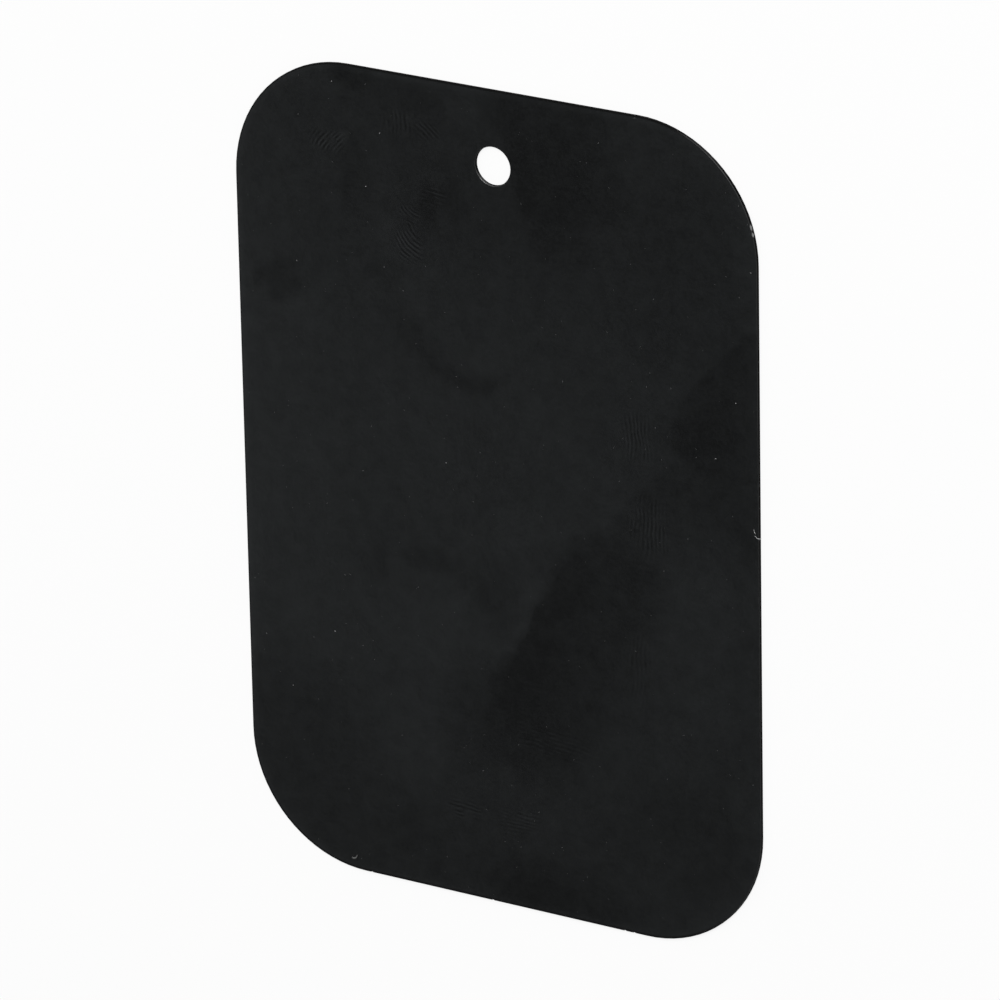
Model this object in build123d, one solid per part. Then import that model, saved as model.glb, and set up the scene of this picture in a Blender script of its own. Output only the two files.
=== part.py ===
from build123d import *

import os

# Plate of a magnetic phone holder: the thin steel sheet that goes on a phone or behind it,
# and that the holder's magnet grips.
# It is one piece. It is blanked and pierced from flat sheet, tumbled, and coated black all over.
# It lies on its back face, with its origin under the middle of the plate:
# +X across the plate, +Y along it to the end with the hole, +Z out of its front face.
# All sizes are in millimetres.

# Blank
plate_length = 65.0
plate_width = 45.0
sheet_thickness = 0.3
corner_radius = 10.0

# Pierced hole that the plate hangs by, a little to the right of its centre line
hole_diameter = 3.0
hole_edge_distance = 5.9
hole_side_offset = 0.15

# Rims: the blanking punch draws the front rim down, and tumbling takes the burr off the back rim
front_rim_radius = 0.08
back_rim_radius = 0.03

# Wear: shallow nicks in the edge away from the hole, by their places from the centre line
nick_depth = 0.08
nick_radius = 0.12
nick_places = (-11.95, -1.08, 10.6, 11.4)


def punch(outline, place=(0, 0)):
    """Returns the slug that a punch of this outline drives through the sheet."""
    return Pos(*place, 0) * extrude(outline, sheet_thickness)


def blank_and_pierce():
    """Returns the sharp-edged plate, as it leaves the press."""
    blank = punch(RectangleRounded(plate_width, plate_length, corner_radius))
    hole_place = (hole_side_offset, plate_length / 2 - hole_edge_distance)
    return blank - punch(Circle(hole_diameter / 2), hole_place)


def round_rims(plate):
    """Rounds the outer rim and the hole's rim, more at the front than at the back."""
    front_rims = plate.edges().group_by(Axis.Z)[-1]
    plate = fillet(front_rims, front_rim_radius)
    back_rims = plate.edges().group_by(Axis.Z)[0]
    return fillet(back_rims, back_rim_radius)


def nick_edge(plate):
    """Knocks the nicks into the finished edge."""
    nick_centre = -plate_length / 2 - nick_radius + nick_depth
    for nick_place in nick_places:
        plate -= punch(Circle(nick_radius), (nick_place, nick_centre))
    return plate


holder_plate = nick_edge(round_rims(blank_and_pierce()))

os.makedirs("parts", exist_ok=True)
export_step(holder_plate, "parts/holder_plate.step")
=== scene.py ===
from math import cos, pi, radians, sin

import bpy
from mathutils import Matrix, Vector


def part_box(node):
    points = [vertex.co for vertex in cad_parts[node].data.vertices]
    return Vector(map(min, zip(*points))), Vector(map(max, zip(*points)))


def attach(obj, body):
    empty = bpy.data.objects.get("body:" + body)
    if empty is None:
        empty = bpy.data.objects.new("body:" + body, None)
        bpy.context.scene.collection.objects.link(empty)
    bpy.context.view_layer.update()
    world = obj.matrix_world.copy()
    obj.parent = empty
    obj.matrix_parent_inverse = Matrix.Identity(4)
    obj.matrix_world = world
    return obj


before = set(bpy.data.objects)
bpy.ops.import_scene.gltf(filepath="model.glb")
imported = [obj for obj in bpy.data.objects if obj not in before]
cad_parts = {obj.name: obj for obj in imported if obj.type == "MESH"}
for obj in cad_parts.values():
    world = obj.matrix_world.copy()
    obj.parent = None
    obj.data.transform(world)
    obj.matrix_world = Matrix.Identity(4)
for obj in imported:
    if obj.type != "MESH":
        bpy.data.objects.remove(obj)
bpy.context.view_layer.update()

# Camera
# The plate lies on its back and is looked down on from past its right-hand edge and its hole,
# from far off through a long lens, with its long side nearly upright in the picture. Lengths are
# in millimetres, but for the floor and the lamps, and turns are in degrees, but for the specks.
mm = 0.001
plate_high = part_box("holder_plate")[1]
face_height = plate_high.z / mm
picture_lens = 308.4
picture_distance = 638.08
picture_azimuth = 36.256
picture_elevation = 52.302
picture_roll = -1.118
aim = Vector((0.24, 0.37, face_height))


def toward(azimuth, elevation):
    """The direction this many degrees round from +X and this many above the floor."""
    azimuth, elevation = radians(azimuth), radians(elevation)
    return Vector((cos(elevation) * cos(azimuth), cos(elevation) * sin(azimuth), sin(elevation)))


camera = bpy.data.objects.new("picture_camera", bpy.data.cameras.new("picture_camera"))
camera.data.lens = picture_lens
camera.data.sensor_width = 36
camera.data.clip_start = 10 * mm
toward_camera = toward(picture_azimuth, picture_elevation)
across_picture = Vector((0, 1, 0)).cross(toward_camera).normalized()
up_picture = toward_camera.cross(across_picture)
upright = Matrix((across_picture, up_picture, toward_camera)).transposed()
camera.matrix_world = Matrix.LocRotScale(
    mm * (aim + picture_distance * toward_camera),
    upright @ Matrix.Rotation(radians(picture_roll), 3, "Z"),
    None,
)
bpy.context.collection.objects.link(camera)
bpy.context.scene.camera = camera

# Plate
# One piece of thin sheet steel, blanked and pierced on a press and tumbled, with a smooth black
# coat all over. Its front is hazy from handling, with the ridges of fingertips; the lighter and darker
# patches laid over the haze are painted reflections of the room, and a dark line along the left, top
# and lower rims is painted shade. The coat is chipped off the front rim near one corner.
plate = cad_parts["holder_plate"]
coat_black = (0.0028, 0.0032, 0.0034, 1)
# The grey of full haze, which is also the painted sheen of the lighter patches
haze_and_sheen_grey = (0.0118, 0.0133, 0.0140, 1)
# The dark of the cut walls, which is also the painted shade along the left, top and lower rims
wall_and_rim_shade_black = (0.008, 0.008, 0.008, 1)
bare_steel = (0.22, 0.22, 0.22, 1)
coat_roughness = 0.30
haze_roughness = 0.40
rim_roughness = 0.60
cut_wall_roughness = 0.9
steel_roughness = 0.5

# The haze that is everywhere, from none at 0 to full at 1, and how blotchy it is at three
# scales: blotches in a millimetre, and how much they vary it
haze_base = 0.42
clouding = (0.15, 0.25)
mottling = (0.9, 0.48)
grain = (3.5, 0.60)

# The skin of the coat: its ripples in a millimetre, and how high they are
orange_peel_per_mm = 1.6
orange_peel_height = 0.0012

# Each mark: x, y, half width, half length, turn, softness of its edge, strength
# Lighter ovals, partly haze and partly painted sheen, such as the lighter strip down the left-hand side
haze_and_sheen_ovals = (
    (-5.0, 0.0, 18.0, 17.0, 0, 0.50, 0.14),
    (-22.5, 3.0, 6.2, 23.0, 0, 0.60, 0.15),
    (-22.6, 0.0, 1.5, 26.0, 0, 0.80, 0.10),
    (22.2, 14.0, 0.9, 3.0, 0, 0.70, 0.20),
    (-20.0, -29.4, 1.6, 6.0, 45, 0.70, 0.16),
    (19.7, -29.5, 1.4, 6.0, -45, 0.70, 0.13),
    (19.9, 29.5, 1.4, 5.0, 45, 0.70, 0.08),
    (-19.9, 29.5, 1.4, 5.0, -45, 0.70, 0.05),
    (21.9, 23.0, 1.2, 4.5, 8, 0.70, 0.12),
    (-15.0, -12.5, 6.5, 5.0, 0, 0.60, 0.10),
    (-4.5, -11.8, 4.0, 3.5, 0, 0.60, 0.12),
    (-8.0, -20.5, 3.0, 4.0, 0, 0.50, 0.12),
    (17.5, -7.0, 4.5, 8.0, 0, 0.50, 0.11),
    (2.7, -7.8, 0.8, 3.8, -28, 0.60, 0.11),
    (-17.0, 23.2, 2.4, 0.4, 22, 0.60, 0.08),
    (-17.5, 12.8, 2.2, 0.4, 15, 0.60, 0.08),
    (-12.9, 26.8, 0.5, 0.5, 0, 0.50, 0.22),
    (-8.6, 19.8, 1.0, 1.0, 0, 0.60, 0.12),
)
# Darker spots, painted reflections of dark things round the plate, that thin the haze by their strength
dark_reflection_spots = (
    (20.5, 3.5, 3.2, 5.0, 0, 0.60, 0.27),
    (17.8, 8.2, 3.2, 1.7, 0, 0.60, 0.40),
    (6.7, -6.8, 1.0, 0.8, 0, 0.60, 0.50),
    (3.4, -11.0, 1.4, 1.0, 0, 0.60, 0.45),
    (1.4, -15.8, 1.8, 2.6, 0, 0.60, 0.30),
    (2.6, -22.5, 2.6, 3.5, 0, 0.60, 0.14),
    (-1.6, -18.0, 2.6, 5.4, 0, 0.50, 0.27),
    (0.0, -7.2, 1.8, 3.3, 0, 0.60, 0.25),
    (3.8, -3.7, 1.3, 1.3, 0, 0.60, 0.20),
    (-0.5, 3.5, 4.0, 5.0, 0, 0.60, 0.08),
    (5.5, 17.0, 4.0, 4.5, 0, 0.60, 0.09),
    (16.5, -25.0, 5.0, 4.0, 0, 0.60, 0.12),
    (3.2, -31.0, 3.4, 2.2, 0, 0.50, 0.60),
    (8.5, -31.6, 1.6, 1.0, 0, 0.60, 0.45),
    (4.0, -31.0, 6.5, 3.2, 0, 0.40, 0.35),
    (9.5, -28.5, 3.6, 4.5, 0, 0.60, 0.12),
    (-7.0, -30.5, 9.0, 5.0, 0, 0.60, 0.22),
    (-18.6, 14.6, 1.5, 2.0, 0, 0.40, 0.40),
    (-20.8, 14.6, 0.6, 0.8, 0, 0.60, 0.45),
    (-5.6, 22.4, 0.8, 1.6, 0, 0.60, 0.75),
    (-3.5, 23.5, 1.2, 1.6, 0, 0.60, 0.40),
    (-2.0, 23.5, 6.5, 5.0, 0, 0.60, 0.20),
    (-11.9, 24.0, 1.0, 3.2, -6, 0.60, 0.32),
    (-10.5, 27.0, 3.5, 5.0, 0, 0.60, 0.07),
    (-12.2, 31.8, 1.9, 1.1, 0, 0.40, 0.60),
    (-7.0, 30.8, 2.6, 1.2, 0, 0.60, 0.30),
    (-9.5, 16.5, 1.6, 1.1, 0, 0.60, 0.30),
    (-7.5, 12.4, 1.4, 2.4, 50, 0.60, 0.30),
    (-1.8, 13.4, 1.2, 1.0, 0, 0.60, 0.15),
    (14.5, 22.0, 5.5, 7.0, 0, 0.60, 0.18),
    (-6.2, -5.6, 2.0, 0.8, 0, 0.60, 0.32),
    (-3.0, -6.6, 2.6, 0.9, -22, 0.60, 0.22),
    (-10.9, -6.6, 1.2, 1.6, 0, 0.60, 0.25),
    (-18.0, -23.5, 4.3, 8.5, 8, 0.50, 0.25),
    (13.2, -21.8, 1.6, 2.0, 0, 0.60, 0.22),
    (17.8, -24.0, 3.2, 4.2, 0, 0.50, 0.27),
)

# Reflection patches are painted reflections of dark things round the plate. They thin the haze as the
# spots do, but have straighter sides, are crisp on their left and fade out on their right. Before its
# strength, each has how far across it begins to fade, from -1 to 1.
reflection_patches = (
    (7.8, -10.8, 5.4, 9.6, -24, 0.12, 0.25, 0.50),
    (5.0, -10.4, 2.6, 8.0, -27, 0.06, -0.70, 0.48),
    (3.3, -16.7, 4.4, 4.7, -8, 0.12, -0.30, 0.48),
    (14.2, 0.3, 3.4, 6.0, -41, 0.14, -0.50, 0.32),
    (21.8, 10.4, 4.8, 6.6, -41, 0.07, -0.60, 0.52),
    (6.6, 28.7, 5.3, 5.5, 11, 0.12, 0.45, 0.48),
    (6.1, 25.1, 3.7, 5.1, 10, 0.16, 0.20, 0.42),
    (1.3, 31.2, 1.8, 1.9, 30, 0.30, 0.20, 0.40),
)

# How deep into the plate a mark reaches, so that none shows on the back face, how far its outline
# wanders, and how many waves of that there are in a millimetre
mark_depth = 0.15
mark_wander = 0.6
wanders_per_mm = 0.35

# A dark arc, a painted reflection of a dark thing round the plate: a ring's middle, its radius, how
# far to each side of it the mark fades out, and the oval that it shows in
dark_arc_middle = (-2.0, 15.5)
dark_arc_radius = 6.3
dark_arc_breadth = 1.2
dark_arc_window = (-3.2, 9.8, 3.6, 1.8, -10, 0.60)
dark_arc_strength = 0.50

# Fingertip ridges lie in arcs: x, y, half width, half length, the middle of the arcs, the spacing
# of the ridges and their depth. They wander less than the marks do, and blotches break them up:
# how many in a millimetre, and how strong a blotch is where ridges begin to show and where they
# show in full.
ridge_prints = (
    (-14.2, 26.2, 1.3, 0.8, -8.0, 21.5, 0.30, 1.15),
    (-7.2, 21.7, 0.8, 0.7, -5.5, 24.0, 0.30, 1.15),
    (-7.3, 19.3, 1.1, 1.4, -5.6, 21.2, 0.33, 1.10),
    (-8.1, 28.8, 1.5, 0.8, -40.0, 28.0, 0.38, 0.60),
    (-5.4, 28.3, 1.3, 0.7, -14.0, 16.0, 0.34, 0.60),
    (-5.0, 23.3, 1.0, 0.6, -6.0, 12.0, 0.32, 1.00),
    (12.2, 7.5, 1.3, 1.8, -40.0, 5.0, 0.34, 0.60),
    (13.2, 0.6, 1.7, 2.2, -40.0, 3.0, 0.34, 0.50),
    (12.2, -10.5, 0.9, 3.4, -40.0, -8.0, 0.34, 0.30),
    (-3.4, -25.4, 1.4, 0.9, -5.0, -60.0, 0.31, 0.70),
    (1.3, -25.5, 1.9, 1.1, -1.0, -60.0, 0.32, 0.45),
    (4.6, -18.5, 3.2, 1.3, 2.0, -60.0, 0.35, 0.30),
)
print_softness = 0.45
ridge_wander = 0.42
ridge_breaks_per_mm = 1.3
ridges_begin, ridges_full = 0.34, 0.56

# Along the edges the haze is thicker, and it stops just short of the rims, leaving a dark line that is
# painted shade along the left, top and lower rims. Widths are in from the outline. The shaded rim is
# wider at the lower end of the plate, from the first of these y to the second. Toward the right-hand
# edge, between these x, it fades out and less haze is added.
corner_radius = 10.0
edge_haze_width = 0.75
edge_haze = 0.20
edge_haze_share_on_right = 0.3
rim_shade_width = 0.16
rim_shade_width_below = 0.29
full_rim_shade_share = 0.5
lower_end_from, lower_end_to = -20.0, -30.0
right_edge_from, right_edge_to = 16.0, 21.0

# How much the surface faces up or down, where the rounded rims begin and where they are full, and
# the same for the cut walls below them
rounded_rim_begins, rounded_rim_full = 0.995, 0.95
cut_wall_begins, cut_wall_full = 0.75, 0.45

# Chips in the front rim: x, y, half width, half length, turn
rim_chips = (
    (22.06, 25.52, 0.09, 0.26, 17),
    (22.20, 25.00, 0.09, 0.18, 15),
)

# Rims that handling has rubbed, at the hole's lower left and the upper right corner:
# x, y, radius, share of bare steel, roughness
rubbed_rims = (
    (-0.67, 25.34, 0.85, 0.25, 0.25),
    (18.2, 30.6, 2.6, 0.08, 0.60),
)
rubbed_softness = 0.40

coat = bpy.data.materials.new("black_coat")
coat.use_nodes = True
coat_nodes = coat.node_tree


def add_node(tree, kind, inputs=None, **settings):
    """Adds a node. Each input is a plain value, or the socket that feeds it."""
    node = tree.nodes.new(kind)
    for name, value in settings.items():
        setattr(node, name, value)
    for name, value in (inputs or {}).items():
        if isinstance(value, bpy.types.NodeSocket):
            tree.links.new(value, node.inputs[name])
        else:
            node.inputs[name].default_value = value
    return node


def maths(operation, first, second=0.0):
    """One step of arithmetic on the coat."""
    step = add_node(coat_nodes, "ShaderNodeMath", {0: first, 1: second}, operation=operation)
    return step.outputs["Value"]


def vector_maths(operation, first, second=(0, 0, 0), result="Vector"):
    """One step of arithmetic on places on the coat."""
    step = add_node(coat_nodes, "ShaderNodeVectorMath", {0: first, 1: second}, operation=operation)
    return step.outputs[result]


def length(vector):
    """How far the place is from the middle."""
    return vector_maths("LENGTH", vector, result="Value")


def along(axis, vector):
    """One coordinate of the place."""
    return add_node(coat_nodes, "ShaderNodeSeparateXYZ", {0: vector}).outputs[axis]


def fade(value, start, end, at_start=0.0, at_end=1.0):
    """Goes smoothly from at_start to at_end as the value goes from start to end."""
    limits = {"Value": value, "From Min": start, "From Max": end, "To Min": at_start, "To Max": at_end}
    step = add_node(coat_nodes, "ShaderNodeMapRange", limits, interpolation_type="SMOOTHSTEP")
    return step.outputs["Result"]


def laid_over(place, x, y, half_width, half_length, turn=0):
    """The place as seen from an oval on the front face, whose edge is 1 from its middle all round."""
    middle = Vector((x, y, face_height))
    shrink = Vector((1 / half_width, 1 / half_length, 1 / mark_depth))
    if turn:
        turned = {"Vector": place, "Center": middle, "Angle": radians(-turn)}
        turned = add_node(coat_nodes, "ShaderNodeVectorRotate", turned, rotation_type="Z_AXIS")
        place = turned.outputs["Vector"]
    shift = {0: place, 1: shrink, 2: -middle * shrink}
    return add_node(coat_nodes, "ShaderNodeVectorMath", shift, operation="MULTIPLY_ADD").outputs["Vector"]


def oval(place, x, y, half_width, half_length, turn=0, softness=0.3, outside=0.0, inside=1.0):
    """An oval on the front face, with one value outside it, another inside it, and smooth between."""
    own_place = laid_over(place, x, y, half_width, half_length, turn)
    return fade(length(own_place), 1 + softness, 1 - softness, outside, inside)


def reflection_patch(place, x, y, half_width, half_length, turn, softness, fades_from):
    """A squarish oval, by fourth powers, that is crisp on its left and fades out to its right, for the
    painted reflection patches.
    """
    own_place = laid_over(place, x, y, half_width, half_length, turn)
    squares = vector_maths("MULTIPLY", own_place, own_place)
    fourth_powers = vector_maths("DOT_PRODUCT", squares, squares, result="Value")
    inside = fade(fourth_powers, (1 + softness) ** 4, (1 - softness) ** 4)
    return maths("MULTIPLY", inside, fade(along("X", own_place), 1.0, fades_from))


def noise(per_mm, result):
    """Cloudy noise about 0.5, as one value or as a colour."""
    cloud = {"Vector": surface, "Scale": per_mm, "Detail": 2.0}
    return add_node(coat_nodes, "ShaderNodeTexNoise", cloud).outputs[result]


def blotches(per_mm, amount):
    """Cloudy variation about nothing, by up to half this amount either way."""
    return maths("MULTIPLY", maths("SUBTRACT", noise(per_mm, "Fac"), 0.5), amount)


def wandering(reach):
    """The surface, shifted here and there by up to this many millimetres."""
    return vector_maths("ADD", surface, vector_maths("MULTIPLY", wander, (2 * reach, 2 * reach, 0)))


def without(share, value):
    """The value with this share of it taken away."""
    return maths("MULTIPLY", value, maths("SUBTRACT", 1.0, share))


def blend(share, first, second, kind="FLOAT"):
    """Mixes two values or colours by the share of the second."""
    # The Mix node has its own two inputs and its own output for each kind
    first_input, second_input, result = {"FLOAT": (2, 3, 0), "RGBA": (6, 7, 2)}[kind]
    inputs = {0: share, first_input: first, second_input: second}
    return add_node(coat_nodes, "ShaderNodeMix", inputs, data_type=kind).outputs[result]


# The surface in millimetres, and the same with a slight wander, so that marks have uneven edges
shape = add_node(coat_nodes, "ShaderNodeTexCoord").outputs
in_mm = {0: shape["Object"], "Scale": 1 / mm}
surface = add_node(coat_nodes, "ShaderNodeVectorMath", in_mm, operation="SCALE").outputs["Vector"]
wander = vector_maths("SUBTRACT", noise(wanders_per_mm, "Color"), (0.5, 0.5, 0.5))
wavering_surface = wandering(mark_wander)

# Haze and its marks, with painted reflections laid over it: a lighter sheen and darker patches
haze_and_reflection = maths("ADD", haze_base, blotches(*clouding))
for *place, strength in haze_and_sheen_ovals:
    haze_and_reflection = maths("ADD", haze_and_reflection, oval(wavering_surface, *place, inside=strength))
for *place, strength in dark_reflection_spots:
    haze_and_reflection = maths("MULTIPLY", haze_and_reflection, oval(wavering_surface, *place, outside=1.0, inside=1.0 - strength))
for *place, strength in reflection_patches:
    haze_and_reflection = without(maths("MULTIPLY", reflection_patch(wavering_surface, *place), strength), haze_and_reflection)

# Dark arc, a painted reflection
dark_arc_place = laid_over(wavering_surface, *dark_arc_middle, dark_arc_radius, dark_arc_radius)
off_ring = maths("ABSOLUTE", maths("SUBTRACT", length(dark_arc_place), 1.0))
dark_arc = fade(off_ring, dark_arc_breadth / dark_arc_radius, 0.0)
dark_arc = maths("MULTIPLY", dark_arc, oval(wavering_surface, *dark_arc_window, inside=dark_arc_strength))
haze_and_reflection = without(dark_arc, haze_and_reflection)

# Fingertip ridges, from a wave that repeats every pi / 10 at a scale of 1
ridge_place = wandering(ridge_wander)
unbroken = fade(noise(ridge_breaks_per_mm, "Fac"), ridges_begin, ridges_full)
for x, y, half_width, half_length, arc_x, arc_y, spacing, depth in ridge_prints:
    arcs = {"Vector": laid_over(ridge_place, arc_x, arc_y, 1, 1), "Scale": pi / 10 / spacing}
    ridges = add_node(coat_nodes, "ShaderNodeTexWave", arcs, wave_type="RINGS", rings_direction="Z")
    ridges = maths("MULTIPLY", maths("SUBTRACT", ridges.outputs["Fac"], 0.5), unbroken)
    touched = oval(wavering_surface, x, y, half_width, half_length, softness=print_softness, inside=depth)
    haze_and_reflection = maths("ADD", haze_and_reflection, maths("MULTIPLY", ridges, touched))
for per_mm, amount in (mottling, grain):
    haze_and_reflection = maths("ADD", haze_and_reflection, blotches(per_mm, amount))

# How far in from the outline each place is, by way of the middles of the rounded corners
arc_middle = (plate_high.x / mm - corner_radius, plate_high.y / mm - corner_radius, 0)
past_middle = vector_maths("MULTIPLY", vector_maths("ABSOLUTE", surface), (1, 1, 0))
past_middle = vector_maths("SUBTRACT", past_middle, arc_middle)
outward = maths("MINIMUM", maths("MAXIMUM", along("X", past_middle), along("Y", past_middle)), 0.0)
outward = maths("ADD", outward, length(vector_maths("MAXIMUM", past_middle)))
inset = maths("SUBTRACT", corner_radius, outward)

# Haze along the edges, and the painted shade along the rims
left_of_edge = fade(along("X", surface), right_edge_to, right_edge_from)
by_edge = fade(inset, edge_haze_width, rim_shade_width, at_end=edge_haze)
by_edge = maths("MULTIPLY", by_edge, maths("MAXIMUM", left_of_edge, edge_haze_share_on_right))
haze_and_reflection = maths("ADD", haze_and_reflection, by_edge)
rim_shade_reach = fade(
    along("Y", surface), lower_end_from, lower_end_to, rim_shade_width, rim_shade_width_below
)
painted_rim_shade = fade(maths("DIVIDE", inset, rim_shade_reach), 1.0, full_rim_shade_share)
painted_rim_shade = maths("MULTIPLY", painted_rim_shade, left_of_edge)
haze_and_reflection = without(painted_rim_shade, haze_and_reflection)

# The rims, by the slope of the surface: the rounded part, and the dull dark wall below it
slope = maths("ABSOLUTE", along("Z", shape["Normal"]))
rounded_rim = fade(slope, rounded_rim_begins, rounded_rim_full)
cut_wall_and_rim_shade = fade(slope, cut_wall_begins, cut_wall_full)
# Along the left, top and lower rims the rounded rim is made as dark as the cut wall: painted shade
cut_wall_and_rim_shade = maths("MAXIMUM", cut_wall_and_rim_shade, maths("MULTIPLY", rounded_rim, painted_rim_shade))
colour = blend(haze_and_reflection, coat_black, haze_and_sheen_grey, "RGBA")
colour = blend(cut_wall_and_rim_shade, colour, wall_and_rim_shade_black, "RGBA")
roughness = blend(haze_and_reflection, coat_roughness, haze_roughness)
roughness = blend(rounded_rim, roughness, rim_roughness)
roughness = blend(cut_wall_and_rim_shade, roughness, cut_wall_roughness)
metal = cut_wall_and_rim_shade

# Rubbed rims and chips
for x, y, reach, steel_share, rubbed_roughness in rubbed_rims:
    rubbed = maths("MULTIPLY", rounded_rim, oval(surface, x, y, reach, reach, softness=rubbed_softness))
    bared = maths("MULTIPLY", rubbed, steel_share)
    colour = blend(bared, colour, bare_steel, "RGBA")
    roughness = blend(rubbed, roughness, rubbed_roughness)
    metal = maths("MAXIMUM", metal, bared)
chips = 0.0
for place in rim_chips:
    chips = maths("MAXIMUM", chips, oval(surface, *place))
colour = blend(chips, colour, bare_steel, "RGBA")
roughness = blend(chips, roughness, steel_roughness)

orange_peel = {"Height": noise(orange_peel_per_mm, "Fac"), "Distance": orange_peel_height * mm}
orange_peel = add_node(coat_nodes, "ShaderNodeBump", orange_peel)
coat_shader = coat_nodes.nodes["Principled BSDF"].inputs
coat_nodes.links.new(colour, coat_shader["Base Color"])
coat_nodes.links.new(roughness, coat_shader["Roughness"])
coat_nodes.links.new(metal, coat_shader["Metallic"])
coat_nodes.links.new(orange_peel.outputs["Normal"], coat_shader["Normal"])
plate.data.materials[0] = coat

# Dust
# Pale specks of dust that have settled on the front face. A few are large enough to be seen by
# themselves and have their own places, and the rest lie at random.
speck_radius = 0.020
large_speck_radius = 0.047
specks_per_square_cm = 12.0
dust_seed = 7
dust_pale = (0.25, 0.25, 0.25, 1)
dust_roughness = 0.9

# Each speck's own width, length and height, as shares of its radius, and how far it is turned, in
# radians. Specks lie only where the plate faces up at least this much.
least_speck = (0.5, 0.5, 0.3)
most_speck = (1.3, 1.3, 0.7)
most_turn = (0.3, 0.3, 6.3)
faces_up = 0.999

# Where the large specks lie: x, y
large_specks = (
    (-13.73, 31.01),
    (18.89, 7.12),
    (-9.61, 27.61),
    (-17.26, 16.31),
    (-14.73, -13.11),
    (20.63, 11.74),
    (21.98, 22.06),
    (-10.95, 23.23),
    (-18.69, -18.34),
    (-4.44, 2.47),
)


def plain_paint(name, colour, roughness):
    """A paint of one colour, for what is too small to show more."""
    paint = bpy.data.materials.new(name)
    paint.use_nodes = True
    shader = paint.node_tree.nodes["Principled BSDF"].inputs
    shader["Base Color"].default_value = colour
    shader["Roughness"].default_value = roughness
    return paint


dust_tree = bpy.data.node_groups.new("settled_dust", "GeometryNodeTree")
dust_inputs = {
    "Speck Radius": ("NodeSocketFloat", speck_radius * mm),
    "Large Speck Radius": ("NodeSocketFloat", large_speck_radius * mm),
    "Specks per Square Metre": ("NodeSocketFloat", specks_per_square_cm * 10000),
    "Seed": ("NodeSocketInt", dust_seed),
    "Surface": ("NodeSocketObject", plate),
    "Dust": ("NodeSocketMaterial", plain_paint("dust", dust_pale, dust_roughness)),
}
dust_tree.interface.new_socket("Large Specks", in_out="INPUT", socket_type="NodeSocketGeometry")
dust_sockets = {}
for name, (kind, value) in dust_inputs.items():
    dust_sockets[name] = dust_tree.interface.new_socket(name, in_out="INPUT", socket_type=kind).identifier
dust_tree.interface.new_socket("Specks", in_out="OUTPUT", socket_type="NodeSocketGeometry")
given = add_node(dust_tree, "NodeGroupInput").outputs


def at_random(least, most):
    """Three random values for each speck."""
    limits = {"Min": least, "Max": most, "Seed": given["Seed"]}
    chance = add_node(dust_tree, "FunctionNodeRandomValue", limits, data_type="FLOAT_VECTOR")
    return chance.outputs["Value"]


def flakes(points, radius):
    """Puts a speck of its own size, squash and turn on each point."""
    size = {0: at_random(least_speck, most_speck), "Scale": radius}
    size = add_node(dust_tree, "ShaderNodeVectorMath", size, operation="SCALE").outputs["Vector"]
    ball = {"Radius": 1.0, "Subdivisions": 1}
    ball = add_node(dust_tree, "GeometryNodeMeshIcoSphere", ball).outputs["Mesh"]
    turn = at_random((0, 0, 0), most_turn)
    placed = {"Points": points, "Instance": ball, "Rotation": turn, "Scale": size}
    return add_node(dust_tree, "GeometryNodeInstanceOnPoints", placed).outputs["Instances"]


steel = add_node(dust_tree, "GeometryNodeObjectInfo", {"Object": given["Surface"]}).outputs["Geometry"]
normal = add_node(dust_tree, "GeometryNodeInputNormal").outputs["Normal"]
upward = add_node(dust_tree, "ShaderNodeSeparateXYZ", {0: normal}).outputs["Z"]
level = add_node(dust_tree, "ShaderNodeMath", {0: upward, 1: faces_up}, operation="GREATER_THAN")
spread = {
    "Mesh": steel,
    "Selection": level.outputs["Value"],
    "Density": given["Specks per Square Metre"],
    "Seed": given["Seed"],
}
scattered = add_node(dust_tree, "GeometryNodeDistributePointsOnFaces", spread).outputs["Points"]
chosen = add_node(dust_tree, "GeometryNodeMeshToPoints", {"Mesh": given["Large Specks"]})
all_flakes = add_node(dust_tree, "GeometryNodeJoinGeometry")
dust_tree.links.new(flakes(scattered, given["Speck Radius"]), all_flakes.inputs[0])
dust_tree.links.new(flakes(chosen.outputs["Points"], given["Large Speck Radius"]), all_flakes.inputs[0])
solid_flakes = add_node(dust_tree, "GeometryNodeRealizeInstances", {0: all_flakes.outputs[0]})
painted = {"Geometry": solid_flakes.outputs[0], "Material": given["Dust"]}
painted_flakes = add_node(dust_tree, "GeometryNodeSetMaterial", painted)
add_node(dust_tree, "NodeGroupOutput", {0: painted_flakes.outputs[0]})


def finished_mesh(thing):
    """The plain mesh that an object with modifiers or a curve comes out as."""
    evaluated = thing.evaluated_get(bpy.context.evaluated_depsgraph_get())
    return bpy.data.meshes.new_from_object(evaluated)


dust_mesh = bpy.data.meshes.new("dust_places")
dust_mesh.from_pydata([mm * Vector((x, y, face_height)) for x, y in large_specks], [], [])
dust = bpy.data.objects.new("dust_specks", dust_mesh)
bpy.context.collection.objects.link(dust)
settling = dust.modifiers.new("settling", "NODES")
settling.node_group = dust_tree
for name, (kind, value) in dust_inputs.items():
    settling[dust_sockets[name]] = value
finished_dust = finished_mesh(dust)
dust.modifiers.remove(settling)
dust.data = finished_dust
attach(dust, "root")

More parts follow.
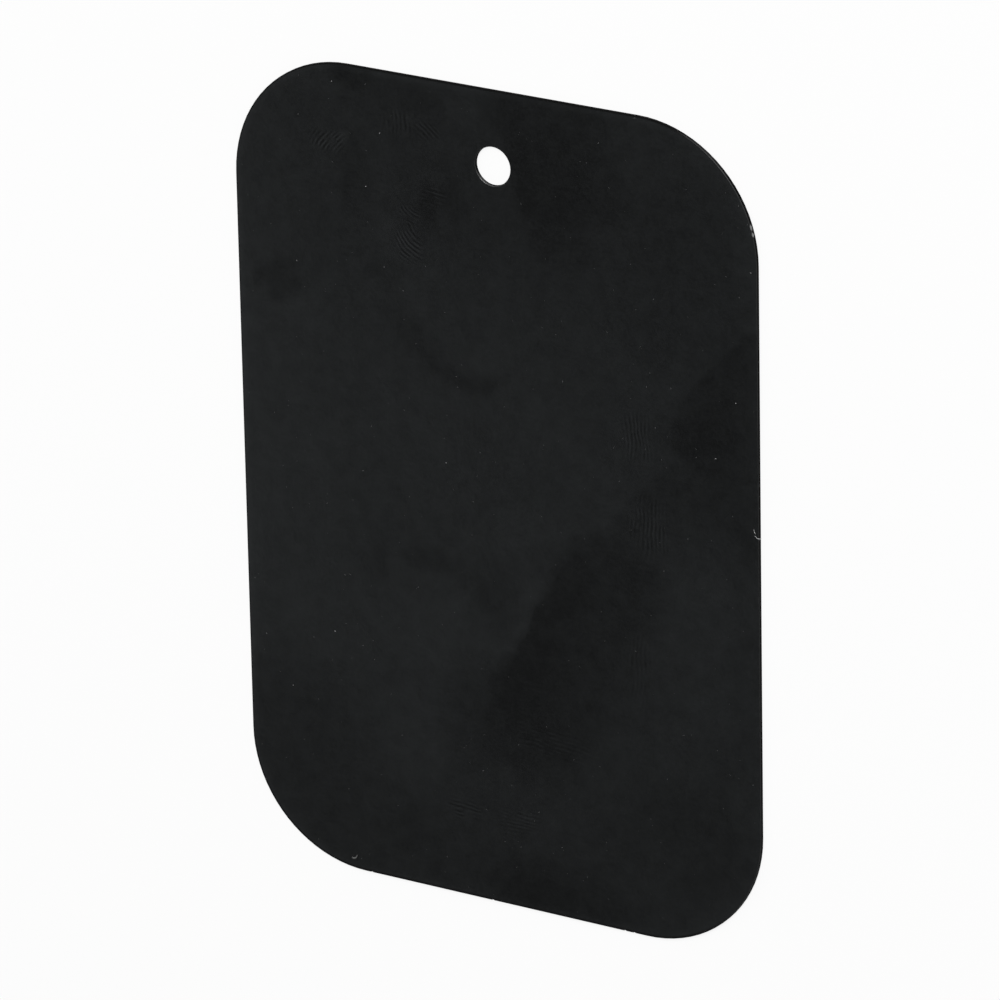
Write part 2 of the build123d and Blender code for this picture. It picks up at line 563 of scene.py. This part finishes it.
# Lint
# Two loose fibres: a white one that clings to the right-hand edge, and a short grey curl near
# the lower left corner. Each point is x, y, its height above the face and its share of the radius.
lint_radius = 0.014
lint_white = (0.65, 0.65, 0.65, 1)
lint_route = (
    (22.10, 2.16, 0.01, 0.4),
    (22.07, 2.00, 0.01, 0.8),
    (22.17, 1.86, 0.01, 0.7),
    (22.21, 1.79, 0.01, 0.1),
    (22.15, 1.66, 0.01, 0.5),
    (22.30, 1.53, 0.01, 1.0),
    (22.50, 1.47, 0.01, 1.0),
    (22.54, 1.45, -0.13, 1.0),
    (22.53, 1.42, -0.27, 0.8),
)
curl_radius = 0.075
curl_grey = (0.08, 0.08, 0.08, 1)
curl_route = (
    (-13.70, -31.58, 0.03, 0.5),
    (-13.62, -31.65, 0.03, 0.9),
    (-13.44, -31.62, 0.03, 1.0),
    (-13.30, -31.50, 0.03, 0.7),
    (-13.24, -31.30, 0.03, 0.3),
)
fibre_roughness = 0.8


def lay_fibre(name, route, radius, colour):
    """Lays a fibre on the front face along its route."""
    curve = bpy.data.curves.new(name, "CURVE")
    curve.dimensions = "3D"
    curve.bevel_depth = radius * mm
    curve.bevel_resolution = 2
    curve.use_fill_caps = True
    line = curve.splines.new("NURBS")
    line.points.add(len(route) - 1)
    for point, (x, y, rise, share) in zip(line.points, route):
        point.co = (x * mm, y * mm, (face_height + rise) * mm, 1)
        point.radius = share
    line.order_u = 3
    line.use_endpoint_u = True
    drawn = bpy.data.objects.new(name + "_line", curve)
    bpy.context.collection.objects.link(drawn)
    solid = finished_mesh(drawn)
    bpy.data.objects.remove(drawn)
    solid.materials.clear()
    solid.materials.append(plain_paint(name, colour, fibre_roughness))
    piece = bpy.data.objects.new(name, solid)
    bpy.context.collection.objects.link(piece)
    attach(piece, "root")


lay_fibre("lint_fibre", lint_route, lint_radius, lint_white)
lay_fibre("dust_curl", curl_route, curl_radius, curl_grey)

# Floor and light
# A plain floor that the camera and the coat see as white, and that keeps the plate's shadow. The
# room is bright round the horizon and dims overhead, and two soft lamps hang in it. Lengths here
# are in metres.
floor_reach = 2.0
floor_white = (0.9, 0.9, 0.9, 1)
floor_glow = 0.88
pure_white = (1, 1, 1, 1)

floor_mesh = bpy.data.meshes.new("floor")
floor_corners = [(x, y, 0) for x, y in ((-1, -1), (1, -1), (1, 1), (-1, 1))]
floor_mesh.from_pydata([floor_reach * Vector(corner) for corner in floor_corners], [], [(0, 1, 2, 3)])
floor = bpy.data.objects.new("floor", floor_mesh)
bpy.context.collection.objects.link(floor)
floor_paint = bpy.data.materials.new("floor_paint")
floor_paint.use_nodes = True
floor_nodes = floor_paint.node_tree
floor_nodes.nodes.clear()


def floor_maths(operation, first, second):
    """One step of arithmetic on the floor."""
    step = add_node(floor_nodes, "ShaderNodeMath", {0: first, 1: second}, operation=operation)
    return step.outputs["Value"]


ray = add_node(floor_nodes, "ShaderNodeLightPath").outputs
seen = floor_maths("MAXIMUM", ray["Is Camera Ray"], ray["Is Glossy Ray"])
seen = floor_maths("MAXIMUM", seen, ray["Is Transmission Ray"])
glow = floor_maths("MULTIPLY", seen, floor_glow)
paint = add_node(floor_nodes, "ShaderNodeBsdfDiffuse", {"Color": floor_white}).outputs["BSDF"]
white = add_node(floor_nodes, "ShaderNodeEmission", {"Color": pure_white, "Strength": 1.0})
mixed = {0: glow, 1: paint, 2: white.outputs["Emission"]}
mixed = add_node(floor_nodes, "ShaderNodeMixShader", mixed).outputs["Shader"]
add_node(floor_nodes, "ShaderNodeOutputMaterial", {"Surface": mixed})
floor_mesh.materials.append(floor_paint)

# How high the room starts to dim, from 0 at the horizon to 1 overhead, how high it is at its
# dimmest, and how bright it is there
dims_from, dims_to = 0.28, 0.60
overhead_light = 0.06

world = bpy.data.worlds.new("studio")
bpy.context.scene.world = world
world.use_nodes = True
world_nodes = world.node_tree
direction = add_node(world_nodes, "ShaderNodeTexCoord").outputs["Generated"]
height = add_node(world_nodes, "ShaderNodeSeparateXYZ", {0: direction}).outputs["Z"]
dimming = {
    "Value": height,
    "From Min": dims_from,
    "From Max": dims_to,
    "To Min": 1.0,
    "To Max": overhead_light,
}
dimming = add_node(world_nodes, "ShaderNodeMapRange", dimming, interpolation_type="SMOOTHSTEP")
room = world_nodes.nodes["Background"].inputs
world_nodes.links.new(dimming.outputs["Result"], room["Strength"])
room["Color"].default_value = pure_white


def soft_lamp(name, azimuth, elevation, distance, size, power):
    """Hangs a square soft lamp that faces the plate."""
    lamp = bpy.data.objects.new(name, bpy.data.lights.new(name, "AREA"))
    lamp.data.size = size
    lamp.data.energy = power
    lamp.location = distance * toward(azimuth, elevation)
    lamp.rotation_euler = lamp.location.to_track_quat("Z", "Y").to_euler()
    bpy.context.collection.objects.link(lamp)


soft_lamp("key_lamp", azimuth=75, elevation=48, distance=0.9, size=0.45, power=7.0)
soft_lamp("fill_lamp", azimuth=150, elevation=30, distance=0.9, size=0.6, power=1.5)

bpy.context.scene.view_settings.view_transform = "Standard"
